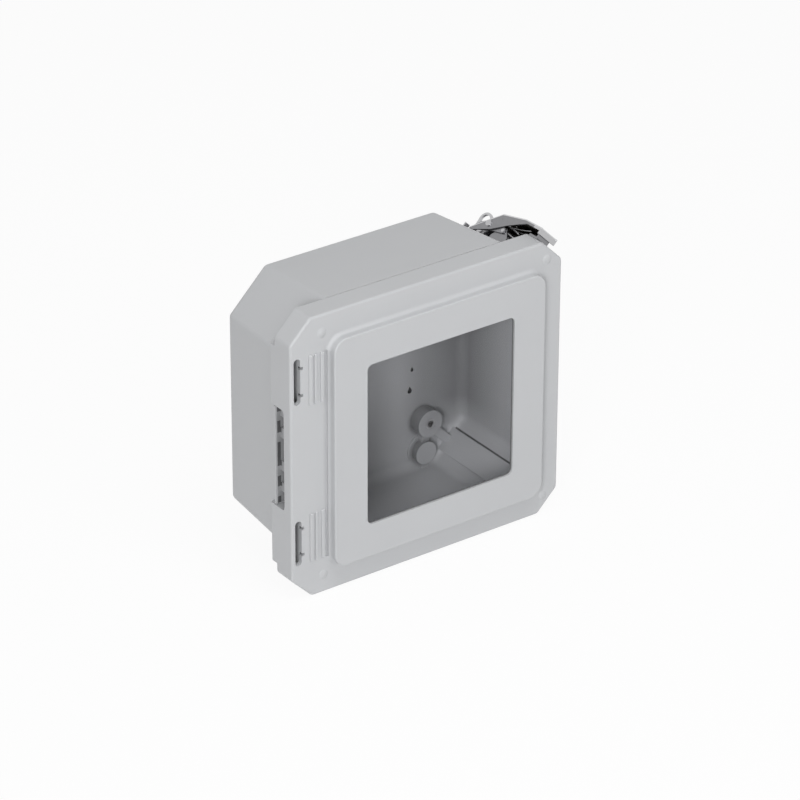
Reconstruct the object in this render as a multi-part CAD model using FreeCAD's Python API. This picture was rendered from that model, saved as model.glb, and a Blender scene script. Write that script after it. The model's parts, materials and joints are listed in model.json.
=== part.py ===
"""Fibreglass enclosure: box body, hinged window cover and a draw latch.

The frame has X to the right, Y into the wall and Z up. The wall face of
the box is the plane Y = 0 and the origin is the middle of that face.
A depth is a distance out from the wall, so a depth of 10 is Y = -10.
"""
import math
import os

import FreeCAD
import Part

# Box body, outside
BACK_HALF = 106.3
BACK_CUT = 31.55
BODY_SHIFT = 1.16
DRAFT = 0.083
CORNER_R = 5.5
BACK_EDGE_R = 5.0

# Depths out from the wall, all set from the front of the cover
COVER_FRONT = 101.0
SHOULDER = COVER_FRONT - 19.4
RIM = COVER_FRONT - 9.3
COVER_REAR = COVER_FRONT - 18.9
PANEL_FRONT = COVER_FRONT + 7.4

# Box body, inside
BACK_WALL = 4.0
SIDE_WALL = 4.0
INNER_R = 9.0
INNER_FLOOR_R = 8.0
CHAMFER_WALL = 4.2
TONGUE_INSET = 3.7728
TONGUE_DRAFT = 0.1
TONGUE_STEP = 3.8
TONGUE_WALL = 3.6
SHOULDER_HALF = BACK_HALF + DRAFT * SHOULDER
TONGUE_HALF = SHOULDER_HALF - TONGUE_INSET
INNER_BACK_HALF = BACK_HALF - SIDE_WALL
INNER_RIM_HALF = TONGUE_HALF - TONGUE_WALL

# Bosses, ribs and marks on the inside
BOSS_X = BACK_HALF - 40.2
BOSS_Z = BACK_HALF - 43.0
BOSS_R = 11.0
BOSS_TOP = 14.5
FOOT_X = BACK_HALF - 41.3
FOOT_Z = BACK_HALF - 16.7
FOOT_R = 9.25
FOOT_TOP = 11.0
FOOT_PAD_R = 13.0
FOOT_PAD_SHIFT = 1.0
FOOT_PAD_TOP = 5.2
RIB_WIDTH = 7.0
RIB_TOP = 9.5
PILASTER_HALF = 10.0
PILASTER_PROUD = 3.0
PILASTER_TOP = COVER_FRONT - 18.0
MARKS = ((BOSS_X - 11.9, 27.0 - BOSS_Z, 2.0, 6.6), (BOSS_X - 9.9, 44.3 - BOSS_Z, 1.35, 4.6))
MARK_DEEP = 2.6
MARK_TIP = 0.25

# Threaded inserts
INSERT_R = 4.0
INSERT_BORE_R = 2.5
INSERT_LONG = 9.0
WALL_INSERT_R = 3.5
WALL_INSERT_BORE_R = 2.1
WALL_INSERT_LONG = 8.0
SEAT_FIT = 0.02
RUN_FIT = 0.05

# Cover
COVER_INSET = 0.0728
COVER_HALF_Z = SHOULDER_HALF - COVER_INSET
COVER_HALF_X = COVER_HALF_Z + 7.0
COVER_CUT = 17.6
COVER_R = 5.0
COVER_INNER_R = 2.5
COVER_EDGE_R = 1.8
FRONT_WALL = 3.8
WINDOW_LIP = 1.4
REBATE_FIT = 0.3
SKIRT_WALL = 3.4
PANEL_X = 6.75
PANEL_HALF_X = COVER_HALF_X - 26.35
PANEL_HALF_Z = COVER_HALF_Z - 20.4
PANEL_R = 11.0
PANEL_FOOT_R = 3.0
PANEL_EDGE_R = 1.2
WINDOW_HALF_X = PANEL_HALF_X - 28.25
WINDOW_HALF_Z = PANEL_HALF_Z - 27.4
WINDOW_R = 4.8
PAD_X = COVER_HALF_X - 20.5
PAD_Z = COVER_HALF_Z - 14.5
PAD_R = 4.0
PAD_HIGH = 0.9
GASKET_RIB = 1.5
GASKET_RIB_END = COVER_FRONT - 8.5

# Gaskets and window pane
GASKET_HALF = TONGUE_HALF - 0.1
GASKET_WIDE = 4.9
GASKET_GAP = 0.3
GASKET_REAR = RIM + GASKET_GAP
WINDOW_GASKET_THICK = 1.0
WINDOW_GASKET_IN = 0.5
PANE_LAP = 9.0
PANE_THICK = 3.0
PANE_R = 6.0

# Hinges, placed from the left edge and the ends of the cover
EDGE_X = -COVER_HALF_X
PIN_X = EDGE_X + 4.4
PIN_DEPTH = COVER_FRONT - 24.0
PIN_R = 1.25
PIN_INSET = 0.5
LUG_LOW = 40.7
LUG_HIGH = COVER_HALF_Z - 24.4
LUG_REAR = COVER_FRONT - 27.1
LUG_INNER_X = EDGE_X + 7.5
LUG_R = 3.0
POCKET_X = EDGE_X + 1.5
POCKET_LOW = LUG_LOW + 6.4
POCKET_HIGH = LUG_HIGH - 4.8
KNUCKLE_R = 2.6
KNUCKLE_GAP = 0.5
WEB_REAR = COVER_FRONT - 24.3
WEB_FRONT = COVER_FRONT - 21.4
SLOT_X0 = EDGE_X + 3.1
SLOT_X1 = EDGE_X + 8.7
SLOT_LOW = POCKET_LOW + 0.1
SLOT_HIGH = POCKET_HIGH
SLOT_FLAT = 0.056
NOTCH_X = EDGE_X + 11.0
NOTCH_HIGH = 2.5
NOTCHES = (SLOT_LOW + 6.8, SLOT_HIGH - 8.3)
CUTOUT_FRONT = COVER_FRONT - 8.6
CUTOUT_R = 3.0
RAIL_X = EDGE_X + 0.4
RAIL_HALF_Z = LUG_LOW - 1.1
RAIL_REAR = COVER_FRONT - 21.4
RAIL_RIB_X = EDGE_X + 4.5
RAIL_RIB_FRONT = COVER_FRONT - 10.0
RAIL_RIBS = ((31.2, 38.1), (13.8, 22.0), (-12.8, -5.0), (-29.8, -22.7))
RIDGES = ((15.7, 19.1), (20.4, 22.9), (25.6, 29.0))
RIDGE_LOW = LUG_LOW + 3.1
RIDGE_HIGH = LUG_HIGH - 4.7
RIDGE_TALL = 1.3
RIDGE_R = 1.1
RIDGE_EDGE_R = 0.8
GROOVE_X0 = EDGE_X + 29.4
GROOVE_X1 = EDGE_X + 31.8
GROOVE_HALF_Z = LUG_HIGH - 4.6
GROOVE_DEEP = 0.9

# Latch, in the plane square to the corner. A place is two numbers: the rise
# out from just under the box's corner face at its shoulder, and the distance
# behind the front of the cover.
SHEET = 1.2
SIDE_GAP = 0.2
LEVER_HALF_W = 8.6
BASE_THICK = 1.5
BASE_R = 3.0
BASE_FRONT = COVER_FRONT - 33.0
BASE_REAR = COVER_FRONT - 78.4
BASE_HALF_W = 8.4
EAR_OUTER = LEVER_HALF_W - SHEET - SIDE_GAP
EAR_SINK = 1.0
LATCH_REACH = 2.0 * (BASE_FRONT - BASE_REAR)
LATCH_SINK = 0.014727
PIVOT = (9.6, 41.1)
PIVOT_R = 1.5
HOOK_PIN = (8.6, 55.4)
HOOK_PIN_R = 1.3
HEAD_R = 2.5
HEAD_THICK = 0.9
EAR_OUTLINE = ((-5.6, 33.5), (5.9, 33.8), (12.4, 39.5), (12.4, 43.5), (2.4, 49.8), (-5.6, 49.8))
EAR_RADII = (0.0, 3.0, 2.6, 2.6, 2.0, 0.0)
EYE = (10.0, 70.0)
EYE_R = 6.2
EYE_HOLE_R = 4.4
EYE_HALF_W = 1.0
EYE_FOOT = ((-5.6, 75.0), (8.4, 76.0), (8.4, 64.1), (-5.6, 66.0))
TAB_OUTLINE = ((-6.758, 78.3), (0.8, 78.3), (0.8, 77.1), (-6.758, 77.1))
TAB_RADII = (0.0, 0.5, 0.5, 0.0)
TAB_W0 = 3.6
TAB_W1 = 8.4
LEVER_SIDE = (
    (-1.4, 71.6), (6.8, 64.7), (11.8, 57.4), (12.0, 53.5), (12.3, 43.4),
    (11.4, 38.6), (7.6, 38.6), (5.0, 50.7), (0.4, 63.6),
)
LEVER_RADII = (0.8, 1.5, 1.8, 2.0, 1.8, 2.0, 2.0, 3.0, 1.5)
LEVER_TOP = ((-1.4, 71.6), (6.8, 64.7), (9.0, 61.5), (8.01, 60.82), (5.9, 63.9), (-2.17, 70.68))
LEVER_TOP_RADII = (0.3, 1.0, 0.2, 0.2, 0.8, 0.3)
LEVER_NOTCH = ((-5.4, 81.0), (10.6, 81.0), (10.6, 63.2), (-5.4, 63.2))
LEVER_NOTCH_HALF = 3.0
HOOK_HALF_W = LEVER_HALF_W + SIDE_GAP + SHEET
HOOK_SIDE = (
    (-1.6, 70.8), (7.4, 61.4), (18.3, 49.6), (19.9, 47.9), (25.1, 25.1), (25.6, 7.0),
    (23.0, 7.0), (22.4, 22.7), (13.7, 38.5), (5.4, 50.7), (-1.6, 66.4),
)
HOOK_RADII = (0.8, 3.0, 1.0, 1.0, 2.0, 0.0, 0.0, 2.0, 3.0, 3.0, 1.2)
HOOK_TOP = (
    (19.7, 47.9), (25.1, 25.1), (25.6, 7.0), (20.4, 7.0), (20.4, 8.2),
    (24.4, 8.2), (23.9, 24.9), (18.5, 47.7),
)
HOOK_TOP_RADII = (0.5, 2.0, 1.4, 0.3, 0.3, 0.3, 1.0, 0.3)
SPRING_WIRE_R = 0.6
SPRING_HALF_W = 4.6
SPRING_FOOT = (0.3, 38.2)
SPRING_TOP = (6.0, 34.6)

# Keeper on the cover corner
KEEPER_HALF_W = 6.4
KEEPER_THICK = 1.5
KEEPER_RISE = 7.0892
KEEPER_FRONT = COVER_FRONT - 8.9
KEEPER_LONG = 9.1
KEEPER_BEND_R = 0.8
KEEPER_TIP_R = 0.6
KEEPER_INNER_R = 0.4
KEEPER_FOOT_R = 0.3
KEEPER_RIVET_DEPTH = COVER_FRONT - 14.5
KEEPER_RIVET_W = 3.2

# Rivets
RIVET_R = 1.6
RIVET_HEAD_R = 2.4
RIVET_TOP_R = 1.7
RIVET_HEAD = 0.9
RIVET_LONG = 2.8
FRONT_RIVETS = COVER_FRONT - 53.5
REAR_RIVETS = COVER_FRONT - 74.4
BASE_RIVETS = ((5.6, FRONT_RIVETS), (-5.6, FRONT_RIVETS), (5.6, REAR_RIVETS), (-5.6, REAR_RIVETS))

# Derived sizes
SQRT2 = math.sqrt(2.0)
BODY_U = (2.0 * BACK_HALF - BACK_CUT) / SQRT2
DRAFT_DEG = math.degrees(math.atan(DRAFT))
HALF_TURN_DEG = 45.0
LATCH_SURFACE_U = BODY_U + BODY_SHIFT / SQRT2
LATCH_U = LATCH_SURFACE_U + DRAFT * SHOULDER - LATCH_SINK
COVER_U = (COVER_HALF_X + COVER_HALF_Z - COVER_CUT) / SQRT2
PAST = 1.0
SAME = 1e-4
TINY = 1e-6
CORNERS = ((1, 1), (-1, 1), (-1, -1), (1, -1))


def vec(x, y, z):
    """Point or direction."""
    return FreeCAD.Vector(x, y, z)


def box(x0, x1, near, far, z0, z1):
    """Block between two X values, two depths and two Z values."""
    return Part.makeBox(x1 - x0, far - near, z1 - z0, vec(x0, -far, z0))


def rod(x, z, radius, near, far):
    """Cylinder square to the wall between two depths."""
    return Part.makeCylinder(radius, far - near, vec(x, -far, z), vec(0, 1, 0))


def post(x, depth, radius, z0, z1):
    """Cylinder along Z."""
    return Part.makeCylinder(radius, z1 - z0, vec(x, -depth, z0), vec(0, 0, 1))


def rounded_wire(points, radii):
    """Closed wire through flat points, each corner rounded by its radius."""
    count = len(points)
    stops = []
    for i, corner in enumerate(points):
        to_last = (points[i - 1] - corner).normalize()
        to_next = (points[(i + 1) % count] - corner).normalize()
        half = to_last.getAngle(to_next) / 2.0
        if radii[i] <= 0.0:
            stops.append((corner, None, corner))
            continue
        run = radii[i] / math.tan(half)
        middle = (to_last + to_next).normalize()
        bulge = radii[i] / math.sin(half) - radii[i]
        stops.append((corner + to_last * run, corner + middle * bulge, corner + to_next * run))
    edges = []
    for i, (start, middle, end) in enumerate(stops):
        if middle is not None:
            edges.append(Part.Arc(start, middle, end).toShape())
        follow = stops[(i + 1) % count][0]
        if (follow - end).Length > TINY:
            edges.append(Part.makeLine(end, follow))
    return Part.Wire(edges)


def prism(points, radii, run):
    """Rounded outline pushed along a direction."""
    return Part.Face(rounded_wire(points, radii)).extrude(run)


def octagon_points(half_x, half_z, cut, depth, shift=0.0):
    """Corners of a rectangle with cut corners, at a depth."""
    long_x = half_x - cut
    long_z = half_z - cut
    spots = (
        (half_x, long_z), (long_x, half_z), (-long_x, half_z), (-half_x, long_z),
        (-half_x, -long_z), (-long_x, -half_z), (long_x, -half_z), (half_x, -long_z),
    )
    return [vec(x + shift, -depth, z) for x, z in spots]


def octagon(half_x, half_z, cut, radius, depth, shift=0.0):
    """Outline of a rectangle with cut and rounded corners."""
    points = octagon_points(half_x, half_z, cut, depth, shift)
    return rounded_wire(points, [radius] * len(points))


def rectangle(half_x, half_z, radius, depth, mid_x=0.0):
    """Rectangle with round corners, drawn at a depth."""
    spots = ((half_x, half_z), (-half_x, half_z), (-half_x, -half_z), (half_x, -half_z))
    points = [vec(mid_x + x, -depth, z) for x, z in spots]
    return rounded_wire(points, [radius] * len(points))


def frustum(low, high):
    """Solid from two matching polygons and the flat faces between them."""
    turn = (low[1] - low[0]).cross(low[2] - low[1])
    if turn.dot(high[0] - low[0]) < 0.0:
        low = low[::-1]
        high = high[::-1]
    count = len(low)
    rings = [low[::-1], high]
    for i in range(count):
        k = (i + 1) % count
        rings.append([low[i], low[k], high[k], high[i]])
    faces = [Part.Face(Part.makePolygon(ring + ring[:1])) for ring in rings]
    return Part.Solid(Part.Shell(faces))


def rounded_frustum(low, high, side_r, end_r):
    """Tapered solid with round sides, and a round low end if a radius is given."""
    solid = frustum(low, high)
    sides = []
    for edge in solid.Edges:
        start, end = [v.Point for v in edge.Vertexes]
        if abs(start.y - end.y) > PAST / 2.0:
            sides.append(edge)
    solid = solid.makeFillet(side_r, sides)
    if end_r > 0.0:
        solid = solid.makeFillet(end_r, edges_at(solid, -low[0].y))
    return solid


def ring_between(outer, inner, thick):
    """Flat ring between two outlines, pushed out from the wall."""
    face = Part.Face(outer).cut(Part.Face(inner))
    return face.extrude(vec(0, -thick, 0))


def edges_at(solid, depth):
    """Edges lying wholly at one depth."""
    found = []
    for edge in solid.Edges:
        if all(abs(v.Point.y + depth) < SAME for v in edge.Vertexes):
            found.append(edge)
    return found


def fuse_all(shapes):
    """One solid from touching shapes."""
    return shapes[0].multiFuse(list(shapes[1:])).removeSplitter()


def cut_for(half, u):
    """Corner cut that puts the corner face at a distance from the centre."""
    return 2.0 * half - u * SQRT2


def body_u(depth):
    """Distance of the outer corner face from the box centre line."""
    return BODY_U + DRAFT * depth


def inner_half(depth):
    """Half width of the space inside the box at a depth."""
    share = (depth - BACK_WALL) / (RIM - BACK_WALL)
    return INNER_BACK_HALF + share * (INNER_RIM_HALF - INNER_BACK_HALF)


def inner_u(depth):
    """Distance of the inner corner face from the box centre line."""
    back = BODY_U - CHAMFER_WALL
    rim = body_u(SHOULDER) - TONGUE_STEP - TONGUE_WALL
    return back + (depth - BACK_WALL) / (RIM - BACK_WALL) * (rim - back)


def body_octagon(half, u, radius, depth):
    """Rounded outline that follows the box, at a depth."""
    return octagon(half, half, cut_for(half, u), radius, depth, BODY_SHIFT)


def body_points(half, u, depth):
    """Corners of an outline that follows the box, at a depth."""
    return octagon_points(half, half, cut_for(half, u), depth, BODY_SHIFT)


def body_outside():
    """Drafted box with a rounded back edge and the rim tongue."""
    back = body_points(BACK_HALF, BODY_U, 0.0)
    front = body_points(SHOULDER_HALF, body_u(SHOULDER), SHOULDER)
    outside = rounded_frustum(back, front, CORNER_R, BACK_EDGE_R)
    tongue_u = body_u(SHOULDER) - TONGUE_STEP
    low = body_points(TONGUE_HALF + TONGUE_DRAFT, tongue_u + TONGUE_DRAFT, SHOULDER - PAST)
    high = body_points(TONGUE_HALF, tongue_u, RIM)
    return outside.fuse(rounded_frustum(low, high, CORNER_R, 0.0))


def body_space():
    """The space inside the box, with a round floor edge."""
    top = RIM + PAST
    back = body_points(inner_half(BACK_WALL), inner_u(BACK_WALL), BACK_WALL)
    front = body_points(inner_half(top), inner_u(top), top)
    return rounded_frustum(back, front, INNER_R, INNER_FLOOR_R)


def quad(side_x, side_z, u0, u1, half_w, depth):
    """Four points across one corner, drawn at a depth."""
    out = vec(side_x / SQRT2, 0, side_z / SQRT2)
    across = vec(side_x / SQRT2, 0, -side_z / SQRT2)
    middle = vec(BODY_SHIFT, -depth, 0)
    spots = ((u0, -half_w), (u1, -half_w), (u1, half_w), (u0, half_w))
    return [middle + out * u + across * w for u, w in spots]


def pilaster(side_x, side_z):
    """Thickened strip on the inner corner face."""
    low = BACK_WALL - PAST
    back = quad(side_x, side_z, inner_u(low) - PILASTER_PROUD, inner_u(low) + PAST, PILASTER_HALF, low)
    top_u = inner_u(PILASTER_TOP)
    front = quad(side_x, side_z, top_u - PILASTER_PROUD, top_u + PAST, PILASTER_HALF, PILASTER_TOP)
    return frustum(back, front)


def corner_rib(side_x, side_z):
    """Low rib from the big boss to the corner of the box."""
    start = (BOSS_X + BOSS_Z) / SQRT2
    low = BACK_WALL - PAST
    half = RIB_WIDTH / 2.0
    back = quad(side_x, side_z, start, inner_u(low) + PAST, half, low)
    front = quad(side_x, side_z, start, inner_u(RIB_TOP) + PAST, half, RIB_TOP)
    return frustum(back, front)


def boss_group(side_x, side_z):
    """Two bosses, the neck between them and their ribs in one corner."""
    x = side_x * BOSS_X
    z = side_z * BOSS_Z
    foot_x = side_x * FOOT_X
    foot_z = side_z * FOOT_Z
    half = RIB_WIDTH / 2.0
    low = BACK_WALL - PAST
    wall_z = side_z * (INNER_BACK_HALF + PAST)
    ends = sorted((z, foot_z))
    reach = sorted((foot_z, wall_z))
    return [
        rod(x, z, BOSS_R, low, BOSS_TOP),
        rod(foot_x, foot_z, FOOT_R, low, FOOT_TOP),
        rod(foot_x, side_z * (FOOT_Z - FOOT_PAD_SHIFT), FOOT_PAD_R, low, FOOT_PAD_TOP),
        box(foot_x - half, foot_x + half, low, RIB_TOP, ends[0], ends[1]),
        box(foot_x - half, foot_x + half, low, RIB_TOP, reach[0], reach[1]),
        corner_rib(side_x, side_z),
        pilaster(side_x, side_z),
    ]


def mark(x, z, radius, tall):
    """Keyhole shaped mark in the floor of the box, point upward."""
    near = BACK_WALL - MARK_DEEP
    far = BACK_WALL + PAST
    top = z + tall - radius
    points = [vec(x - radius, -near, z), vec(x + radius, -near, z), vec(x, -near, top)]
    wedge = prism(points, [0.0, 0.0, radius * MARK_TIP], vec(0, near - far, 0))
    return wedge.fuse(rod(x, z, radius, near, far))


def hinge_sides():
    """Lower and upper hinge: sign along Z."""
    return (-1, 1)


def span(side, low, high):
    """Z range on one side of the middle."""
    return sorted((side * low, side * high))


def body_knuckle(side):
    """Knuckle on the box wall that holds one hinge pin."""
    z0, z1 = span(side, POCKET_LOW + KNUCKLE_GAP, POCKET_HIGH - KNUCKLE_GAP)
    wall = BODY_SHIFT - SHOULDER_HALF + PAST
    barrel = post(PIN_X, PIN_DEPTH, KNUCKLE_R, z0, z1)
    web = box(PIN_X, wall, WEB_REAR, WEB_FRONT, z0, z1)
    return barrel.fuse(web)


def rail():
    """Flange strip with ribs behind the cut-out in the cover's left side."""
    wall = BODY_SHIFT - TONGUE_HALF + PAST
    parts = [box(RAIL_X, wall, RAIL_REAR, SHOULDER, -RAIL_HALF_Z, RAIL_HALF_Z)]
    for z0, z1 in RAIL_RIBS:
        parts.append(box(RAIL_RIB_X, wall, SHOULDER - PAST, RAIL_RIB_FRONT, z0, z1))
    return parts


def make_body():
    """The box with everything moulded on it."""
    shell = body_outside().cut(body_space())
    adds = []
    for side_x, side_z in CORNERS:
        adds += boss_group(side_x, side_z)
    inside = fuse_all(adds).common(body_outside())
    outside_adds = rail() + [body_knuckle(side) for side in hinge_sides()]
    body = fuse_all([shell, inside] + outside_adds)
    cuts = []
    for side_x, side_z in CORNERS:
        seat = INSERT_R + SEAT_FIT
        cuts.append(rod(side_x * BOSS_X, side_z * BOSS_Z, seat, BOSS_TOP - INSERT_LONG, BOSS_TOP + PAST))
        seat = WALL_INSERT_R + SEAT_FIT
        cuts.append(rod(side_x * FOOT_X, side_z * FOOT_Z, seat, -PAST, WALL_INSERT_LONG))
    for x, z, radius, tall in MARKS:
        cuts.append(mark(x, z, radius, tall))
        cuts.append(mark(-x, z, radius, tall))
    for side in hinge_sides():
        z0, z1 = span(side, POCKET_LOW, POCKET_HIGH)
        cuts.append(post(PIN_X, PIN_DEPTH, PIN_R + SEAT_FIT, z0, z1))
    for w, depth in BASE_RIVETS:
        cuts.append(on_chamfer(rivet_hole(), w, depth))
    return body.cut(cuts)


def insert(radius, bore, long):
    """Round insert with a plain bore, standing along -Y from Y = 0."""
    solid = Part.makeCylinder(radius, long, vec(0, 0, 0), vec(0, -1, 0))
    return solid.cut(Part.makeCylinder(bore, long, vec(0, 0, 0), vec(0, -1, 0)))


def make_inserts():
    """Inserts for the inner panel and for the wall feet."""
    found = {}
    for i, (side_x, side_z) in enumerate(CORNERS):
        piece = insert(INSERT_R, INSERT_BORE_R, INSERT_LONG)
        piece.translate(vec(side_x * BOSS_X, INSERT_LONG - BOSS_TOP, side_z * BOSS_Z))
        found["panel_insert_%d" % (i + 1)] = piece
        piece = insert(WALL_INSERT_R, WALL_INSERT_BORE_R, WALL_INSERT_LONG)
        piece.translate(vec(side_x * FOOT_X, 0, side_z * FOOT_Z))
        found["wall_insert_%d" % (i + 1)] = piece
    return found


def make_hinge_pin(side):
    """Plain pin through the knuckle and both cheeks of one hinge."""
    z0, z1 = span(side, LUG_LOW + PIN_INSET, LUG_HIGH - PIN_INSET)
    return post(PIN_X, PIN_DEPTH, PIN_R, z0, z1)


def cover_plate():
    """Cover slab with the raised panel and its fillets."""
    outline = octagon(COVER_HALF_X, COVER_HALF_Z, COVER_CUT, COVER_R, COVER_REAR)
    slab = Part.Face(outline).extrude(vec(0, COVER_REAR - COVER_FRONT, 0))
    slab = slab.makeFillet(COVER_EDGE_R, edges_at(slab, COVER_FRONT))
    foot = rectangle(PANEL_HALF_X, PANEL_HALF_Z, PANEL_R, COVER_FRONT - PAST, PANEL_X)
    panel = Part.Face(foot).extrude(vec(0, COVER_FRONT - PAST - PANEL_FRONT, 0))
    plate = slab.fuse(panel)
    inner = []
    for edge in edges_at(plate, COVER_FRONT):
        if max(abs(v.Point.z) for v in edge.Vertexes) < PANEL_HALF_Z + PAST:
            if max(abs(v.Point.x - PANEL_X) for v in edge.Vertexes) < PANEL_HALF_X + PAST:
                inner.append(edge)
    plate = plate.makeFillet(PANEL_FOOT_R, inner)
    return plate.makeFillet(PANEL_EDGE_R, edges_at(plate, PANEL_FRONT))


def cover_space():
    """The space behind the cover's front wall and inside its skirt."""
    inner_cut = COVER_HALF_X + COVER_HALF_Z - 2.0 * SKIRT_WALL - (COVER_U - SKIRT_WALL) * SQRT2
    half_x = COVER_HALF_X - SKIRT_WALL
    half_z = COVER_HALF_Z - SKIRT_WALL
    start = COVER_REAR - PAST
    outline = octagon(half_x, half_z, inner_cut, COVER_INNER_R, start)
    space = Part.Face(outline).extrude(vec(0, start - COVER_FRONT + FRONT_WALL, 0))
    back = COVER_FRONT - FRONT_WALL - PAST
    wall = rectangle(PANEL_HALF_X - FRONT_WALL, PANEL_HALF_Z - FRONT_WALL, PANEL_R - FRONT_WALL, back, PANEL_X)
    pocket = Part.Face(wall).extrude(vec(0, back - PANEL_FRONT + FRONT_WALL, 0))
    half_x = WINDOW_HALF_X + PANE_LAP + REBATE_FIT
    half_z = WINDOW_HALF_Z + PANE_LAP + REBATE_FIT
    seat = rectangle(half_x, half_z, PANE_R + REBATE_FIT, back, PANEL_X)
    rebate = Part.Face(seat).extrude(vec(0, back - PANEL_FRONT + WINDOW_LIP, 0))
    return space.fuse([pocket, rebate])


def cover_lug(side):
    """Solid lug at one hinge, before the knuckle pocket is cut."""
    z0, z1 = span(side, LUG_LOW, LUG_HIGH)
    top = -COVER_FRONT + FRONT_WALL / 2.0
    points = [
        vec(-COVER_HALF_X, top, z0), vec(-COVER_HALF_X, -LUG_REAR, z0),
        vec(LUG_INNER_X, -LUG_REAR, z0), vec(LUG_INNER_X, top, z0),
    ]
    return prism(points, [0.0, LUG_R, LUG_INNER_X - PIN_X, 0.0], vec(0, 0, z1 - z0))


def cover_hinge_cuts(side):
    """Knuckle pocket, pin bore and front slot of one hinge."""
    z0, z1 = span(side, POCKET_LOW, POCKET_HIGH)
    pocket = box(POCKET_X, LUG_INNER_X + PAST, LUG_REAR - PAST, COVER_FRONT - FRONT_WALL, z0, z1)
    p0, p1 = span(side, LUG_LOW - PAST, LUG_HIGH + PAST)
    bore = post(PIN_X, PIN_DEPTH, PIN_R + RUN_FIT, p0, p1)
    s0, s1 = span(side, SLOT_LOW, SLOT_HIGH)
    mid_x = (SLOT_X0 + SLOT_X1) / 2.0
    wide = (SLOT_X1 - SLOT_X0) / 2.0
    start = COVER_FRONT - FRONT_WALL - PAST
    through = FRONT_WALL + 2.0 * PAST
    points = [
        vec(mid_x - wide, -start, s0), vec(mid_x + wide, -start, s0),
        vec(mid_x + wide, -start, s1), vec(mid_x - wide, -start, s1),
    ]
    cuts = [pocket, bore, prism(points, [wide - SLOT_FLAT] * 4, vec(0, -through, 0))]
    for z in NOTCHES:
        n0 = side * z - NOTCH_HIGH / 2.0
        cuts.append(box(mid_x, NOTCH_X, start, start + through, n0, n0 + NOTCH_HIGH))
    return cuts


def cover_ridges(side):
    """Raised bars beside one hinge slot."""
    z0, z1 = span(side, RIDGE_LOW, RIDGE_HIGH)
    bars = []
    for x0, x1 in RIDGES:
        near = COVER_FRONT - PAST
        spots = ((x0, z0), (x1, z0), (x1, z1), (x0, z1))
        points = [vec(EDGE_X + x, -near, z) for x, z in spots]
        bar = prism(points, [RIDGE_R] * 4, vec(0, -RIDGE_TALL - PAST, 0))
        bars.append(bar.makeFillet(RIDGE_EDGE_R, edges_at(bar, COVER_FRONT + RIDGE_TALL)))
    return bars


def pad(x, z):
    """Round blank pad with a domed face."""
    ball = (PAD_R ** 2 + PAD_HIGH ** 2) / (2.0 * PAD_HIGH)
    dome = Part.makeSphere(ball, vec(x, ball - COVER_FRONT - PAD_HIGH, z))
    return dome.common(rod(x, z, PAD_R, COVER_FRONT - PAST, COVER_FRONT + 2.0 * PAD_HIGH))


def gasket_rib():
    """Low rib inside the cover that locates the gasket."""
    half = GASKET_HALF - GASKET_WIDE - GASKET_GAP
    outer = ring_octagon(half, GASKET_RIB_END)
    inner = ring_octagon(half - GASKET_RIB, GASKET_RIB_END)
    return ring_between(outer, inner, COVER_FRONT - FRONT_WALL + PAST - GASKET_RIB_END)


def ring_octagon(half, depth):
    """Outline beside the tongue, kept at one distance from the rim."""
    tongue_u = body_u(SHOULDER) - TONGUE_STEP
    u = tongue_u - (TONGUE_HALF - half)
    return body_octagon(half, u, CORNER_R, depth)


def make_cover():
    """The hinged cover as one moulding."""
    cover = cover_plate().cut(cover_space())
    adds = [cover, gasket_rib()]
    for side in hinge_sides():
        adds.append(cover_lug(side))
        adds += cover_ridges(side)
    for side_x, side_z in CORNERS:
        x = PANEL_X + side_x * PAD_X
        adds.append(pad(x, side_z * PAD_Z))
    cover = fuse_all(adds)
    cuts = [window_hole(WINDOW_HALF_X, WINDOW_HALF_Z, WINDOW_R)]
    for side in hinge_sides():
        cuts += cover_hinge_cuts(side)
    cuts.append(groove())
    cuts.append(cover_cutout())
    for side in (-1, 1):
        cuts.append(on_cover(rivet_hole(), side * KEEPER_RIVET_W, KEEPER_RIVET_DEPTH))
    return cover.cut(cuts)


def window_hole(half_x, half_z, radius):
    """Block the shape of the window opening."""
    start = COVER_FRONT - FRONT_WALL
    outline = rectangle(half_x, half_z, radius, start, PANEL_X)
    return Part.Face(outline).extrude(vec(0, start - PANEL_FRONT - PAST, 0))


def groove():
    """Shallow channel between the ridges and the panel."""
    top = COVER_FRONT + 2.0 * PAST
    return box(GROOVE_X0, GROOVE_X1, COVER_FRONT - GROOVE_DEEP, top, -GROOVE_HALF_Z, GROOVE_HALF_Z)


def cover_cutout():
    """Opening in the left skirt between the two lugs."""
    start = -COVER_HALF_X - PAST
    points = [
        vec(start, -COVER_REAR + PAST, -LUG_LOW), vec(start, -COVER_REAR + PAST, LUG_LOW),
        vec(start, -CUTOUT_FRONT, LUG_LOW), vec(start, -CUTOUT_FRONT, -LUG_LOW),
    ]
    radii = [0.0, 0.0, CUTOUT_R, CUTOUT_R]
    return prism(points, radii, vec(SKIRT_WALL + 2.0 * PAST, 0, 0))


def make_cover_gasket():
    """Foam ring that meets the rim of the box."""
    outer = ring_octagon(GASKET_HALF, GASKET_REAR)
    inner = ring_octagon(GASKET_HALF - GASKET_WIDE, GASKET_REAR)
    return ring_between(outer, inner, COVER_FRONT - FRONT_WALL - GASKET_REAR)


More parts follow.
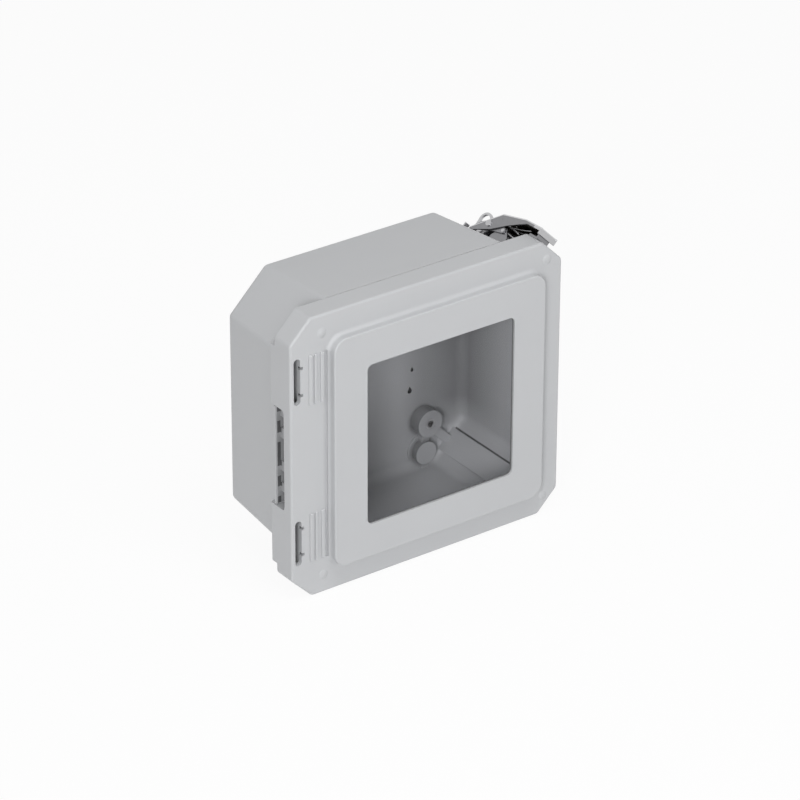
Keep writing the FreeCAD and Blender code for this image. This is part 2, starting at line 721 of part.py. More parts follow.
def make_window_gasket():
    """Thin ring between the cover and the pane."""
    depth = PANEL_FRONT - WINDOW_LIP - WINDOW_GASKET_THICK
    half_x = WINDOW_HALF_X - WINDOW_GASKET_IN
    half_z = WINDOW_HALF_Z - WINDOW_GASKET_IN
    outer = rectangle(WINDOW_HALF_X + PANE_LAP, WINDOW_HALF_Z + PANE_LAP, PANE_R, depth, PANEL_X)
    inner = rectangle(half_x, half_z, WINDOW_R - WINDOW_GASKET_IN, depth, PANEL_X)
    return ring_between(outer, inner, WINDOW_GASKET_THICK)


def make_window_pane():
    """Flat clear pane behind the opening."""
    depth = PANEL_FRONT - WINDOW_LIP - WINDOW_GASKET_THICK - PANE_THICK
    outline = rectangle(WINDOW_HALF_X + PANE_LAP, WINDOW_HALF_Z + PANE_LAP, PANE_R, depth, PANEL_X)
    return Part.Face(outline).extrude(vec(0, -PANE_THICK, 0))


def to_corner(shape):
    """Turn a shape drawn in U, Y, W onto the top right corner."""
    placed = shape.copy()
    placed.rotate(vec(0, 0, 0), vec(0, 1, 0), -HALF_TURN_DEG)
    return placed


def on_chamfer(shape, w, depth):
    """Seat a shape on the drafted corner face of the box."""
    placed = shape.copy()
    placed.rotate(vec(0, 0, 0), vec(0, 0, 1), DRAFT_DEG)
    placed.translate(vec(LATCH_SURFACE_U + DRAFT * depth, -depth, w))
    return to_corner(placed)


def on_cover(shape, w, depth):
    """Seat a shape on the corner face of the cover."""
    placed = shape.copy()
    placed.translate(vec(COVER_U, -depth, w))
    return to_corner(placed)


def rivet_hole():
    """Blind hole into a wall, along -X from X = 0."""
    return Part.makeCylinder(RIVET_R + SEAT_FIT, RIVET_LONG + PAST, vec(PAST, 0, 0), vec(-1, 0, 0))


def rivet(plate):
    """Rivet through a plate lying on X = 0, with a tapered head."""
    shank = Part.makeCylinder(RIVET_R, RIVET_LONG + plate, vec(plate, 0, 0), vec(-1, 0, 0))
    head = Part.makeCone(RIVET_HEAD_R, RIVET_TOP_R, RIVET_HEAD, vec(plate, 0, 0), vec(1, 0, 0))
    return shank.fuse(head)


def at(place, w):
    """Point of the latch from its rise, its distance behind the front and W."""
    rise, behind = place
    return vec(LATCH_U + rise, behind - COVER_FRONT, w)


def across(outline, radii, w0, w1):
    """Profile of places pushed along W."""
    points = [at(place, w0) for place in outline]
    return prism(points, list(radii), vec(0, 0, w1 - w0))


def cross_rod(place, radius, w0, w1):
    """Cylinder along W."""
    return Part.makeCylinder(radius, w1 - w0, at(place, w0), vec(0, 0, 1))


def pair(outline, radii, outer):
    """Two side plates one sheet thick."""
    left = across(outline, radii, -outer, SHEET - outer)
    right = across(outline, radii, outer - SHEET, outer)
    return [left, right]


def plate_hole(plate):
    """Rivet hole through a plate lying on X = 0."""
    return Part.makeCylinder(RIVET_R + SEAT_FIT, plate + 2.0 * PAST, vec(-PAST, 0, 0), vec(1, 0, 0))


def make_latch_base():
    """Plate on the corner of the box with two ears, a tab and the padlock eye."""
    middle = (BASE_FRONT + BASE_REAR) / 2.0
    half = (BASE_FRONT - BASE_REAR) / 2.0
    corners = ((half, BASE_HALF_W), (-half, BASE_HALF_W), (-half, -BASE_HALF_W), (half, -BASE_HALF_W))
    points = [vec(0, y, w) for y, w in corners]
    plate = prism(points, [BASE_R] * 4, vec(BASE_THICK, 0, 0))
    plate = on_chamfer(plate, 0.0, middle)
    raised = pair(EAR_OUTLINE, EAR_RADII, EAR_OUTER)
    raised.append(across(EYE_FOOT, [0.0] * 4, -EYE_HALF_W, EYE_HALF_W))
    raised.append(cross_rod(EYE, EYE_R, -EYE_HALF_W, EYE_HALF_W))
    raised.append(across(TAB_OUTLINE, TAB_RADII, TAB_W0, TAB_W1))
    corner = vec(BASE_THICK - EAR_SINK, -LATCH_REACH / 2.0, -LATCH_REACH / 2.0)
    above = on_chamfer(Part.makeBox(LATCH_REACH, LATCH_REACH, LATCH_REACH, corner), 0.0, middle)
    solid = fuse_all([plate] + [to_corner(piece).common(above) for piece in raised])
    cuts = [to_corner(cross_rod(EYE, EYE_HOLE_R, -LEVER_HALF_W, LEVER_HALF_W))]
    cuts.append(to_corner(cross_rod(PIVOT, PIVOT_R + SEAT_FIT, -LEVER_HALF_W, LEVER_HALF_W)))
    for w, depth in BASE_RIVETS:
        cuts.append(on_chamfer(plate_hole(BASE_THICK), w, depth))
    return solid.cut(cuts)


def make_pivot_pin():
    """Plain pin across the ears and the lever, flush at both ends."""
    return to_corner(cross_rod(PIVOT, PIVOT_R, -LEVER_HALF_W, LEVER_HALF_W))


def make_hook_pin():
    """Pin across the lever and the hook with a flat head at each end."""
    inner = HOOK_HALF_W
    outer = HOOK_HALF_W + HEAD_THICK
    shaft = cross_rod(HOOK_PIN, HOOK_PIN_R, -outer, outer)
    left = cross_rod(HOOK_PIN, HEAD_R, -outer, -inner)
    right = cross_rod(HOOK_PIN, HEAD_R, inner, outer)
    return to_corner(fuse_all([shaft, left, right]))


def make_latch_lever():
    """Inner channel of the latch with a notch for the padlock eye."""
    plates = pair(LEVER_SIDE, LEVER_RADII, LEVER_HALF_W)
    top = across(LEVER_TOP, LEVER_TOP_RADII, -LEVER_HALF_W, LEVER_HALF_W)
    lever = fuse_all(plates + [top])
    wide = LEVER_HALF_W + PAST
    cuts = [across(LEVER_NOTCH, [0.0] * 4, -LEVER_NOTCH_HALF, LEVER_NOTCH_HALF)]
    cuts.append(cross_rod(PIVOT, PIVOT_R + RUN_FIT, -wide, wide))
    cuts.append(cross_rod(HOOK_PIN, HOOK_PIN_R + SEAT_FIT, -wide, wide))
    return to_corner(lever.cut(cuts))


def make_latch_hook():
    """Outer channel that ends in the lip over the keeper."""
    plates = pair(HOOK_SIDE, HOOK_RADII, HOOK_HALF_W)
    top = across(HOOK_TOP, HOOK_TOP_RADII, -HOOK_HALF_W, HOOK_HALF_W)
    hook = fuse_all(plates + [top])
    wide = HOOK_HALF_W + PAST
    return to_corner(hook.cut(cross_rod(HOOK_PIN, HOOK_PIN_R + RUN_FIT, -wide, wide)))


def make_latch_spring():
    """Bent wire that stands on the base between the ears."""
    ends = [at(SPRING_FOOT, w) for w in (-SPRING_HALF_W, SPRING_HALF_W)]
    tops = [at(SPRING_TOP, w) for w in (-SPRING_HALF_W, SPRING_HALF_W)]
    runs = ((ends[0], tops[0]), (tops[0], tops[1]), (tops[1], ends[1]))
    pieces = []
    for start, end in runs:
        ahead = end - start
        pieces.append(Part.makeCylinder(SPRING_WIRE_R, ahead.Length, start, ahead))
    pieces += [Part.makeSphere(SPRING_WIRE_R, top) for top in tops]
    return to_corner(fuse_all(pieces))


def make_keeper():
    """Bent bracket on the corner of the cover."""
    foot = KEEPER_THICK
    outline = (
        (0, 0), (KEEPER_RISE, 0), (KEEPER_RISE, foot), (foot, foot), (foot, KEEPER_LONG), (0, KEEPER_LONG),
    )
    radii = (KEEPER_BEND_R, KEEPER_TIP_R, KEEPER_TIP_R, KEEPER_INNER_R, KEEPER_FOOT_R, 0.0)
    points = [vec(u, y, -KEEPER_HALF_W) for u, y in outline]
    solid = prism(points, radii, vec(0, 0, 2.0 * KEEPER_HALF_W))
    solid = on_cover(solid, 0.0, KEEPER_FRONT)
    cuts = []
    for side in (-1, 1):
        cuts.append(on_cover(plate_hole(foot), side * KEEPER_RIVET_W, KEEPER_RIVET_DEPTH))
    return solid.cut(cuts)


def all_nodes():
    """Every piece by name."""
    nodes = {"body": make_body(), "cover": make_cover()}
    nodes.update(make_inserts())
    nodes["hinge_pin_lower"] = make_hinge_pin(-1)
    nodes["hinge_pin_upper"] = make_hinge_pin(1)
    nodes["cover_gasket"] = make_cover_gasket()
    nodes["window_gasket"] = make_window_gasket()
    nodes["window_pane"] = make_window_pane()
    nodes["latch_base"] = make_latch_base()
    nodes["latch_lever"] = make_latch_lever()
    nodes["latch_hook"] = make_latch_hook()
    nodes["latch_pivot_pin"] = make_pivot_pin()
    nodes["latch_hook_pin"] = make_hook_pin()
    nodes["latch_spring"] = make_latch_spring()
    nodes["keeper"] = make_keeper()
    for i, (w, depth) in enumerate(BASE_RIVETS):
        nodes["latch_base_rivet_%d" % (i + 1)] = on_chamfer(rivet(BASE_THICK), w, depth)
    for i, side in enumerate((-1, 1)):
        piece = on_cover(rivet(KEEPER_THICK), side * KEEPER_RIVET_W, KEEPER_RIVET_DEPTH)
        nodes["keeper_rivet_%d" % (i + 1)] = piece
    return nodes


def main():
    """Write one file for each piece."""
    os.makedirs("parts", exist_ok=True)
    for name, shape in all_nodes().items():
        shape.exportStep("parts/%s.step" % name)


main()
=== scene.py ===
"""Looks for the fibreglass enclosure: materials, light and camera."""

import json
import math

import bpy
import numpy as np
from mathutils import Matrix, Vector


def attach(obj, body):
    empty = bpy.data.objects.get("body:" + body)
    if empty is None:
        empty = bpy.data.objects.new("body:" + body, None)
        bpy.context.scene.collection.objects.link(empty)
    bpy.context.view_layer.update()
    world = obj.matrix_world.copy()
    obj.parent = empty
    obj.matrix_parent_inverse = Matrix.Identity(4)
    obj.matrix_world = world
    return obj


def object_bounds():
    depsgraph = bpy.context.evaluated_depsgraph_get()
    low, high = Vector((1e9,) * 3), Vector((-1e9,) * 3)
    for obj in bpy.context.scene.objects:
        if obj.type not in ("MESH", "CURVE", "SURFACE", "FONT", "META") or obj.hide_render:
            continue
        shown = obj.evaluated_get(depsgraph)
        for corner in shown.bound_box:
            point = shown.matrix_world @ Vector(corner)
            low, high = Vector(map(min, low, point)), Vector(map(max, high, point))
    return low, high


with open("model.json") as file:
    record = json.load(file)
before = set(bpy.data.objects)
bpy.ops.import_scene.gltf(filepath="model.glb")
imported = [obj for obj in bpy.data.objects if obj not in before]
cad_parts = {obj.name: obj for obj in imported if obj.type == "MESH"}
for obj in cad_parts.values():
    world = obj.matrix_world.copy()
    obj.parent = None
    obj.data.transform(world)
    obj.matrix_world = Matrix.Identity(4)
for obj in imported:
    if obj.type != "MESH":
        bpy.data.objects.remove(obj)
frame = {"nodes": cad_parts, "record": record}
start_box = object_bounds()

# Camera found from the photograph, in metres and pixels
IMAGE_SIDE = 800.0
FOCAL_PX = 4300.55
SENSOR_MM = 36.0
CAMERA_AT = (-1.6141, -2.3009, 1.4913)
CAMERA_RIGHT = (0.811555, -0.584268, 0.003023)
CAMERA_UP = (0.275751, 0.387573, 0.879630)
CAMERA_AHEAD = (0.515111, 0.713034, -0.475650)

# Colours, linear
GREY = (0.500, 0.508, 0.520)
GREY_DARK = (0.470, 0.477, 0.489)
STEEL = (0.27, 0.27, 0.28)
# painted highlight along the bends of the hook
BEND_HIGHLIGHT_PAINT = (0.62, 0.62, 0.63)
# lighter steel of the pins and rivets, also painted light on the front of the hook and the rear of the base
PIN_STEEL_AND_PAINTED_LIGHT = (0.50, 0.50, 0.51)
# painted shade inside the latch
LATCH_SHADE_PAINT = (0.07, 0.065, 0.06)
PLATED = (0.72, 0.72, 0.72)
FOAM = (0.030, 0.030, 0.032)
RUBBER = (0.17, 0.17, 0.173)
PANE_TINT = (0.99, 0.99, 0.995)

# Upper edge of the hook in the plane of the latch, as start and slope
DIAGONAL = math.sqrt(0.5)
HOOK_EDGES = ((0.1051, 0.957), (0.10642, 0.9237), (0.14339, 0.228), (0.15861, 0.0276))
# Reach of the painted highlight, the painted shade and the painted light on the hook, and start of the painted light
# on the base
BEND_WIDE = 0.0009
HOOK_INSIDE = 0.00885
HOOK_LIP = 0.0927
HOOK_FRONT = 0.0860
EYE_END = 0.0375

# Painted shadow line beside the thickened strip inside the cut corners, and painted shade in the deep recesses
SHADOW_LINE_AT = 0.0116
SHADOW_LINE_HALF = 0.0008
SHADOW_LINE_OUT = 0.1232
SHADOW_LINE_REACH = 0.0050
SHADOW_LINE_MIDDLE = 0.045
SHADOW_LINE_LONG = 0.038
SHADE_DARK = (0.03, 0.03, 0.032)
CORNER_X = 0.1033
CORNER_D = 0.003
CORNER_REACH = 0.058
CORNER_LOW = 0.082
CORNER_HIGH = 0.090
CORNER_FADE = 0.030
CORNER_SHADE = 0.60
INNER_LIMIT = 0.1048
INNER_DRAFT = 0.03
INNER_CUT = 0.1320
LOW_REACH = 0.085
LOW_X = 0.050
LOW_SHADE = 0.55
BOSSES = ((0.0661, 0.0633, 0.011, 0.0145), (0.0650, 0.0896, 0.00925, 0.0110))
BOSS_FADE = 0.0040
BOSS_SHADE = 0.50
RAIL_HALF = 0.0394
RAIL_DEPTH = 0.0865
RAIL_DEEP = 0.0057
RAIL_X = -0.1112
RAIL_WIDE = 0.0072
RAIL_RIBS = ((0.03115, 0.00375), (0.01405, 0.00385), (-0.0133, 0.0041), (-0.02995, 0.00405))
STRIP_X = -0.1168
STRIP_DEPTH = 0.0816
STRIP_HALF = 0.0014
RIB_SHADE = 0.35
GAP_SHADE = 0.85
WORLD_LEVEL = 0.36
KEY_POWER = 45.5
FRONT_POWER = 13.0
ABOVE_POWER = 7.3
NEAR_POWER = 0.38
# painted shadow line beside the thickened strip
SHADOW_LINE_PAINT = (0.17, 0.17, 0.175)

# Blind marks in the floor of the box, with painted shade in them: their reach and their middle depth
MARK_X = 0.0552
MARK_Z = -0.0276
MARK_WIDE = 0.0065
MARK_HIGH = 0.0140
MARK_MIDDLE = 0.0025
MARK_HALF = 0.0013
MARK_SHADE_PAINT = (0.05, 0.05, 0.05)
FLOOR = (0.86, 0.86, 0.86)
FLOOR_WHITE = 0.93


class Socket:
    """A shader value that can be used in plain arithmetic."""

    def __init__(self, graph, plug):
        self.graph = graph
        self.plug = plug

    def maths(self, kind, first, second):
        return self.graph.node("ShaderNodeMath", {"operation": kind}, [first, second])

    def __add__(self, other):
        return self.maths("ADD", self, other)

    def __radd__(self, other):
        return self.maths("ADD", other, self)

    def __sub__(self, other):
        return self.maths("SUBTRACT", self, other)

    def __rsub__(self, other):
        return self.maths("SUBTRACT", other, self)

    def __mul__(self, other):
        return self.maths("MULTIPLY", self, other)

    def __rmul__(self, other):
        return self.maths("MULTIPLY", other, self)

    def __truediv__(self, other):
        return self.maths("DIVIDE", self, other)

    def __rtruediv__(self, other):
        return self.maths("DIVIDE", other, self)


class Graph:
    """Node tree of one material."""

    def __init__(self, name):
        self.material = bpy.data.materials.new(name)
        self.material.use_nodes = True
        self.tree = self.material.node_tree
        self.tree.nodes.clear()
        self.end = self.tree.nodes.new("ShaderNodeOutputMaterial")

    def node(self, kind, settings=None, values=(), out=0):
        """Add a node, set it up, feed its inputs and return one output."""
        made = self.tree.nodes.new(kind)
        for key, value in (settings or {}).items():
            setattr(made, key, value)
        pairs = values.items() if isinstance(values, dict) else enumerate(values)
        for key, value in pairs:
            if isinstance(value, Socket):
                self.tree.links.new(value.plug, made.inputs[key])
            elif value is not None:
                made.inputs[key].default_value = value
        return Socket(self, made.outputs[out])

    def finish(self, shader):
        self.tree.links.new(shader.plug, self.end.inputs["Surface"])
        return self.material

    def place(self):
        return self.node("ShaderNodeTexCoord", out="Object")

    def noise(self, where, scale, detail=2.0):
        return self.node("ShaderNodeTexNoise", values={"Vector": where, "Scale": scale, "Detail": detail})

    def maths(self, kind, *values):
        """One sum, comparison or other simple step."""
        return self.node("ShaderNodeMath", {"operation": kind}, values)

    def clip(self, value):
        """A value held between zero and one."""
        return self.maths("MINIMUM", self.maths("MAXIMUM", value, 0.0), 1.0)

    def within(self, value, half):
        """One where a value lies closer to zero than a half width."""
        return self.maths("LESS_THAN", self.maths("ABSOLUTE", value), half)

    def split(self, where):
        """The three parts of a place."""
        parts = self.tree.nodes.new("ShaderNodeSeparateXYZ")
        self.tree.links.new(where.plug, parts.inputs[0])
        return [Socket(self, out) for out in parts.outputs]

    def tint(self, factor, first, second):
        """First colour, turned into a plain second one by a factor."""
        return self.node("ShaderNodeMix", {"data_type": "RGBA"}, {0: factor, 6: first, 7: second + (1.0,)}, out=2)

    def blend(self, factor, first, second):
        settings = {"data_type": "RGBA"}
        values = {0: factor, 6: first + (1.0,), 7: second + (1.0,)}
        return self.node("ShaderNodeMix", settings, values, out=2)


def recess_shade(g, x, y, z):
    """Share of shade (0..1) in the deep recesses of the moulding.

    The corners of the back with the right wall and with the floor fade with
    the distance sqrt((x - X)^2 + (depth - D)^2) and its like in z; the sides
    of the round bosses and the gaps between the ribs of the rail are bands.
    """
    depth = 0.0 - y
    corner = g.maths("SQRT", (x - CORNER_X) * (x - CORNER_X) + (depth - CORNER_D) * (depth - CORNER_D))
    corner = g.clip(1.0 - corner / CORNER_REACH) * g.clip((z + CORNER_LOW) / CORNER_FADE)
    corner = corner * g.clip((CORNER_HIGH - z) / CORNER_FADE)
    wide = g.maths("ABSOLUTE", x)
    high = g.maths("ABSOLUTE", z)
    inside = g.maths("LESS_THAN", g.maths("MAXIMUM", wide, high), depth * INNER_DRAFT + INNER_LIMIT)
    inside = inside * g.maths("LESS_THAN", (wide + high) * DIAGONAL, depth * INNER_DRAFT + INNER_CUT)
    inside = inside * g.maths("GREATER_THAN", depth, 0.0015)
    total = corner * inside * CORNER_SHADE
    low = g.maths("SQRT", (z + CORNER_X) * (z + CORNER_X) + (depth - CORNER_D) * (depth - CORNER_D))
    low = g.clip(1.0 - low / LOW_REACH) * g.clip((LOW_X - x) / CORNER_REACH)
    total = g.maths("MAXIMUM", total, low * inside * LOW_SHADE)
    for at_x, at_z, radius, top in BOSSES:
        reach = g.maths("SQRT", (wide - at_x) * (wide - at_x) + (high - at_z) * (high - at_z))
        ring = g.clip((radius + BOSS_FADE - reach) / BOSS_FADE) * g.maths("GREATER_THAN", reach, radius - 0.0002)
        total = g.maths("MAXIMUM", total, ring * g.within(depth - 0.5 * top - 0.0005, 0.5 * top - 0.0008) * BOSS_SHADE)
    rail = g.within(z, RAIL_HALF) * g.within(depth - RAIL_DEPTH, RAIL_DEEP) * g.within(x - RAIL_X, RAIL_WIDE)
    ribs = None
    for middle, half in RAIL_RIBS:
        rib = g.within(z - middle, half)
        ribs = rib if ribs is None else g.maths("MAXIMUM", ribs, rib)
    strip = g.within(x - STRIP_X, STRIP_HALF) * g.within(depth - STRIP_DEPTH, STRIP_HALF) * (1.0 - ribs)
    return g.maths("MAXIMUM", total, rail * (RIB_SHADE + strip * (GAP_SHADE - RIB_SHADE)))


def fibreglass():
    """Moulded grey resin with a faint mottle and a fine skin, painted shade in the blind marks and the deep recesses,
    and a painted shadow line beside the thickened strips.
    """
    g = Graph("fibreglass")
    at = g.place()
    broad = g.noise(at, 22.0)
    fine = g.noise(at, 420.0, 3.0)
    colour = g.blend(broad * 0.6 + fine * 0.3, GREY_DARK, GREY)
    bump = g.node("ShaderNodeBump", values={"Strength": 0.12, "Distance": 0.0002, "Height": fine})
    x, y, z = g.split(at)
    # painted shade inside the blind marks
    inside = g.within(x - MARK_X, MARK_WIDE) * g.within(z - MARK_Z, MARK_HIGH) * g.within(y + MARK_MIDDLE, MARK_HALF)
    colour = g.tint(inside, colour, MARK_SHADE_PAINT)
    # painted shadow line on one side of the thickened strip in the cut corners
    along = (x + z) * DIAGONAL - SHADOW_LINE_AT
    out = (x - z) * DIAGONAL
    shadow_line = g.within(along, SHADOW_LINE_HALF) * g.within(out - SHADOW_LINE_OUT, SHADOW_LINE_REACH)
    colour = g.tint(shadow_line * g.within(y + SHADOW_LINE_MIDDLE, SHADOW_LINE_LONG), colour, SHADOW_LINE_PAINT)
    colour = g.tint(recess_shade(g, x, y, z), colour, SHADE_DARK)
    values = {"Base Color": colour, "Roughness": 0.42 + fine * 0.10, "Normal": bump, "IOR": 1.48}
    return g.finish(g.node("ShaderNodeBsdfPrincipled", values=values))


def plain(name, colour, roughness, metallic=0.0, scale=300.0, spread=0.12):
    """One colour with a little change of polish."""
    g = Graph(name)
    grain = g.noise(g.place(), scale)
    darker = tuple(c * (1.0 - spread) for c in colour)
    tint = g.blend(grain, darker, colour)
    values = {"Base Color": tint, "Roughness": roughness + grain * spread, "Metallic": metallic}
    return g.finish(g.node("ShaderNodeBsdfPrincipled", values=values))


def hook_steel():
    """Steel of the hook, with painted shade inside the channel, a painted highlight along its bends and painted light
    on its front end.

    U runs out through the corner and W across the latch. The upper edge of
    the side plates is the lowest of four lines U = a + b * depth.
    """
    g = Graph("hook_steel")
    at = g.place()
    x, y, z = g.split(at)
    out = (x + z) * DIAGONAL
    across = (z - x) * DIAGONAL
    depth = 0.0 - y
    top = None
    for start, slope in HOOK_EDGES:
        line = depth * slope + start
        top = line if top is None else g.maths("MINIMUM", top, line)
    # painted highlight in a narrow band along the upper edge of the side plates
    bend = g.maths("GREATER_THAN", out, top - BEND_WIDE)
    # painted shade inside the channel, below the highlight band and behind the lip
    inner = g.within(across, HOOK_INSIDE) * g.maths("LESS_THAN", out, top - BEND_WIDE)
    inner = inner * g.maths("LESS_THAN", depth, HOOK_LIP)
    grain = g.noise(at, 300.0)
    colour = g.blend(grain, tuple(0.85 * c for c in STEEL), STEEL)
    # painted light on the front end of the hook
    colour = g.tint(g.maths("GREATER_THAN", depth, HOOK_FRONT), colour, PIN_STEEL_AND_PAINTED_LIGHT)
    colour = g.tint(inner, g.tint(bend, colour, BEND_HIGHLIGHT_PAINT), LATCH_SHADE_PAINT)
    values = {"Base Color": colour, "Roughness": 0.24 + grain * 0.12, "Metallic": 1.0}
    return g.finish(g.node("ShaderNodeBsdfPrincipled", values=values))


def base_steel():
    """Steel of the latch base, with painted light on its rear, on the eye and the tab."""
    g = Graph("base_steel")
    at = g.place()
    grain = g.noise(at, 300.0)
    colour = g.blend(grain, tuple(0.85 * c for c in STEEL), STEEL)
    # painted light on the rear of the base
    rear = g.maths("GREATER_THAN", g.split(at)[1], -EYE_END)
    values = {"Base Color": g.tint(rear, colour, PIN_STEEL_AND_PAINTED_LIGHT), "Roughness": 0.24 + grain * 0.12, "Metallic": 1.0}
    return g.finish(g.node("ShaderNodeBsdfPrincipled", values=values))


def clear_pane():
    """Clear sheet that lets the light through and mirrors a little."""
    g = Graph("pane")
    haze = g.noise(g.place(), 40.0)
    through = g.node("ShaderNodeBsdfTransparent", values={"Color": PANE_TINT + (1.0,)})
    shine = g.node("ShaderNodeBsdfPrincipled", values={
        "Base Color": (0.6, 0.6, 0.6, 1.0), "Metallic": 1.0, "Roughness": 0.05})
    return g.finish(g.node("ShaderNodeMixShader", values=[haze * 0.01 + 0.006, through, shine]))


def dress(materials):
    """Give every solid the finish of its slot, with pins and rivets brighter."""
    for part in frame["record"]["subparts"]:
        solid = frame["nodes"][part["node"]]
        solid.data.materials.clear()
        slot = part["material_slot"]
        # the hook and the base take steel with painted light, painted shade and a painted highlight
        if part["node"] in ("latch_hook", "latch_base"):
            slot = part["node"].replace("latch_", "") + "_steel"
        elif "pin" in part["node"] or "rivet" in part["node"]:
            slot = "bright_steel"
        solid.data.materials.append(materials[slot])


def mesh_object(name, points, faces, material):
    """Object from arrays of points and of four-sided faces."""
    mesh = bpy.data.meshes.new(name)
    mesh.from_pydata(points.tolist(), [], faces)
    mesh.materials.append(material)
    mesh.polygons.foreach_set("use_smooth", [True] * len(mesh.polygons))
    mesh.update()
    made = bpy.data.objects.new(name, mesh)
    bpy.context.collection.objects.link(made)
    return made


def skin(name, rings, material):
    """Closed surface through matching rings of points, with flat ends."""
    rings = np.asarray(rings, float)
    count, sides = rings.shape[:2]
    points = rings.reshape(-1, 3)
    faces = []
    for i in range(count - 1):
        for j in range(sides):
            k = (j + 1) % sides
            faces.append((i * sides + j, i * sides + k, (i + 1) * sides + k, (i + 1) * sides + j))
    last = (count - 1) * sides
    faces.append(tuple(range(sides - 1, -1, -1)))
    faces.append(tuple(range(last, last + sides)))
    return mesh_object(name, points, faces, material)


def tube(name, path, radius, material, sides=12):
    """Closed tube along a path.

    Ring i is path[i] + radius * (cos(a) n + sin(a) b), where n and b are
    carried along the path so that they stay square to it.
    """
    path = np.asarray(path, float)
    tangent = np.gradient(path, axis=0)
    tangent /= np.linalg.norm(tangent, axis=1)[:, None]
    normal = np.cross(tangent[0], (0.3, 1.0, 0.2))
    rings = []
    angles = np.linspace(0.0, 2.0 * math.pi, sides, endpoint=False)
    for point, ahead in zip(path, tangent):
        normal = normal - ahead * np.dot(normal, ahead)
        normal /= np.linalg.norm(normal)
        side = np.cross(ahead, normal)
        rings.append(point + radius * (np.outer(np.cos(angles), normal) + np.outer(np.sin(angles), side)))
    return skin(name, rings, material)


def latch_place(out, depth, across):
    """Place of the latch: U out through the corner, depth, and W across, in mm."""
    return np.array(((out - across) * DIAGONAL, -depth, (out + across) * DIAGONAL)) / 1000.0


def smooth_path(corners, count):
    """Points on a soft curve that rounds off the given corners.

    The corners are doubled by cutting each side at a quarter and at three
    quarters, three times over, and the ends are kept.
    """
    path = np.asarray(corners, float)
    for _ in range(count):
        near = path[:-1] * 0.75 + path[1:] * 0.25
        far = path[:-1] * 0.25 + path[1:] * 0.75
        middle = np.stack((near, far), axis=1).reshape(-1, 3)
        path = np.concatenate((path[:1], middle, path[-1:]))
    return path


def add_pocket_walls(material):
    """Thin inner walls of the two hinge pockets, in front of the knuckles.

    The section |x - X|^n / a^n + |depth - D|^n / b^n = 1 is drawn along z.
    """
    angles = np.linspace(0.0, 2.0 * math.pi, 24, endpoint=False)
    round_off = 0.3
    side = np.sign(np.cos(angles)) * np.abs(np.cos(angles)) ** round_off * 0.25
    deep = np.sign(np.sin(angles)) * np.abs(np.sin(angles)) ** round_off * 7.2
    for name, high, low in (("upper", 91.0, 47.4), ("lower", -47.4, -91.0)):
        rings = [np.stack((side - 110.3, -(deep + 89.7), np.full(24, z)), axis=1) for z in np.linspace(high, low, 5)]
        wall = skin("hinge_pocket_wall_" + name, np.array(rings) / 1000.0, material)
        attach(wall, "cover")


def add_lever_web(material):
    """Dark sheet shaped as the web of the lever that closes its rear slope, just under the edges of the hook; its
    near-black steel is painted shade inside the latch.
    """
    rings = []
    for across, start in ((8.2, 0.20), (7.3, 0.0), (-7.3, 0.0), (-8.2, 0.20)):
        rear = np.array((147.4, 44.8)) + start * np.array((7.1, 7.7))
        front = np.array((154.5, 52.5))
        sink = np.array((-0.735, 0.68))
        outline = (rear, front, front + sink, rear + sink)
        rings.append([latch_place(out, depth, across) for out, depth in outline])
    web = skin("lever_web", rings, material)
    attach(web, "latch_lever")


def add_hook_wires(material):
    """Cross rod at the bend of the hook and the two spring legs that start on it."""
    rod = tube("hook_rod", [latch_place(150.4, 61.2, w) for w in (-8.75, -3.0, 3.0, 8.75)], 0.0009, material)
    pieces = [rod]
    for i, across in enumerate((-3.6, 3.6)):
        corners = ((150.6, 61.4, across), (151.8, 67.0, across), (153.4, 74.0, across), (155.6, 80.0, across))
        path = smooth_path([latch_place(*corner) for corner in corners], 3)
        pieces.append(tube("hook_spring_leg_%d" % (i + 1), path, 0.00045, material, 8))
    for piece in pieces:
        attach(piece, "latch_hook")


def area_light(name, place, aim, size, power):
    """Square soft lamp turned towards a point."""
    lamp = bpy.data.lights.new(name, "AREA")
    lamp.size = size
    lamp.energy = power
    made = bpy.data.objects.new(name, lamp)
    made.location = place
    made.rotation_mode = "QUATERNION"
    made.rotation_quaternion = (Vector(aim) - Vector(place)).to_track_quat("-Z", "Y")
    bpy.context.collection.objects.link(made)


def white_world(level):
    """Even light on the object, and plain white where the camera sees past it."""
    world = bpy.data.worlds.new("studio")
    world.use_nodes = True
    tree = world.node_tree
    tree.nodes.clear()
    path = tree.nodes.new("ShaderNodeLightPath")
    seen = tree.nodes.new("ShaderNodeMath")
    seen.operation = "MAXIMUM"
    both = tree.nodes.new("ShaderNodeMath")
    both.operation = "MAXIMUM"
    tree.links.new(path.outputs["Is Camera Ray"], both.inputs[0])
    tree.links.new(path.outputs["Is Glossy Ray"], both.inputs[1])
    tree.links.new(both.outputs[0], seen.inputs[0])
    tree.links.new(path.outputs["Is Transmission Ray"], seen.inputs[1])
    light = tree.nodes.new("ShaderNodeBackground")
    light.inputs["Color"].default_value = (1.0, 1.0, 1.0, 1.0)
    light.inputs["Strength"].default_value = level
    white = tree.nodes.new("ShaderNodeBackground")
    white.inputs["Color"].default_value = (1.0, 1.0, 1.0, 1.0)
    white.inputs["Strength"].default_value = 1.0
    mix = tree.nodes.new("ShaderNodeMixShader")
    end = tree.nodes.new("ShaderNodeOutputWorld")
    tree.links.new(seen.outputs[0], mix.inputs[0])
    tree.links.new(light.outputs[0], mix.inputs[1])
    tree.links.new(white.outputs[0], mix.inputs[2])
    tree.links.new(mix.outputs[0], end.inputs[0])
    bpy.context.scene.world = world


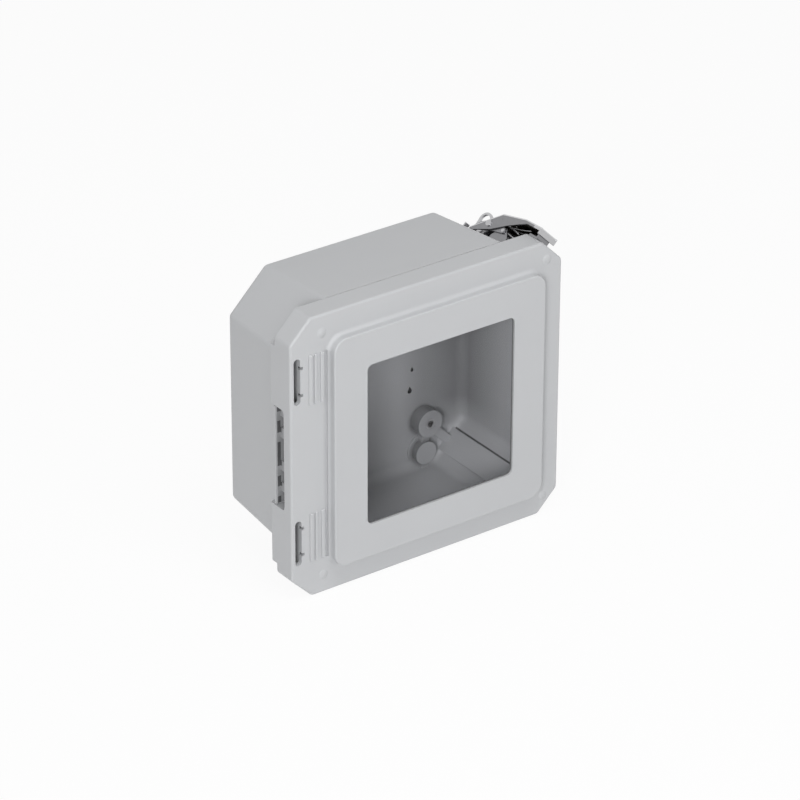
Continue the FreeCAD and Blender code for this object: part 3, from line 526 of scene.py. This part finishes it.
def add_floor(height):
    """Pale floor: mostly plain white to the eye, yet it keeps the soft shadow."""
    g = Graph("floor")
    tone = g.noise(g.place(), 2.0)
    colour = g.blend(tone, tuple(0.99 * c for c in FLOOR), FLOOR)
    shader = g.node("ShaderNodeBsdfPrincipled", values={"Base Color": colour, "Roughness": 0.9})
    white = g.node("ShaderNodeEmission", values={"Color": (1.0, 1.0, 1.0, 1.0), "Strength": 1.0})
    eye = g.node("ShaderNodeLightPath", out="Is Camera Ray")
    mirror = g.node("ShaderNodeLightPath", out="Is Glossy Ray")
    through = g.node("ShaderNodeLightPath", out="Is Transmission Ray")
    seen = g.node("ShaderNodeMath", {"operation": "MAXIMUM"}, [eye, mirror])
    seen = g.node("ShaderNodeMath", {"operation": "MAXIMUM"}, [seen, through])
    material = g.finish(g.node("ShaderNodeMixShader", values=[seen * FLOOR_WHITE, shader, white]))
    side = 6.0
    points = np.array([(-side, -side, height), (side, -side, height), (side, side, height), (-side, side, height)])
    floor = mesh_object("floor", points, [(0, 1, 2, 3)], material)


def add_camera():
    """Camera at the photograph's place, with its lens."""
    camera = bpy.data.cameras.new("camera")
    camera.sensor_width = SENSOR_MM
    camera.lens = FOCAL_PX / IMAGE_SIDE * SENSOR_MM
    camera.clip_end = 50.0
    made = bpy.data.objects.new("camera", camera)
    turn = Matrix((CAMERA_RIGHT, CAMERA_UP, tuple(-c for c in CAMERA_AHEAD))).transposed()
    made.matrix_world = Matrix.Translation(CAMERA_AT) @ turn.to_4x4()
    bpy.context.collection.objects.link(made)
    bpy.context.scene.camera = made


def main():
    """Build the whole scene."""
    steel = plain("stainless", STEEL, 0.24, 1.0)
    bright = plain("bright_steel", PIN_STEEL_AND_PAINTED_LIGHT, 0.22, 1.0)
    materials = {
        "fibreglass": fibreglass(),
        "foam": plain("foam", FOAM, 0.8),
        "dark_rubber": plain("dark_rubber", RUBBER, 0.5),
        "pane": clear_pane(),
        "stainless": steel,
        "hook_steel": hook_steel(),
        # near-black steel of the lever web: painted shade inside the latch
        "dark_steel": plain("dark_steel", LATCH_SHADE_PAINT, 0.4, 1.0),
        "base_steel": base_steel(),
        "bright_steel": bright,
        "brass": plain("brass", PLATED, 0.35, 1.0),
    }
    dress(materials)
    add_pocket_walls(materials["fibreglass"])
    add_lever_web(materials["dark_steel"])
    add_hook_wires(bright)
    add_floor(start_box[0][2] - 0.0002)
    area_light("key", (-2.2, -2.2, 1.1), (0, 0, 0), 0.9, KEY_POWER)
    area_light("front", (0.6, -3.2, 0.9), (0, 0, 0), 0.7, FRONT_POWER)
    area_light("above", (-0.1, -0.5, 1.4), (0, 0, 0), 0.8, ABOVE_POWER)
    area_light("near", (0.0, -0.60, 0.62), (0, -0.1, 0.08), 0.35, NEAR_POWER)
    white_world(WORLD_LEVEL)
    add_camera()
    bpy.context.scene.view_settings.view_transform = "Standard"


main()
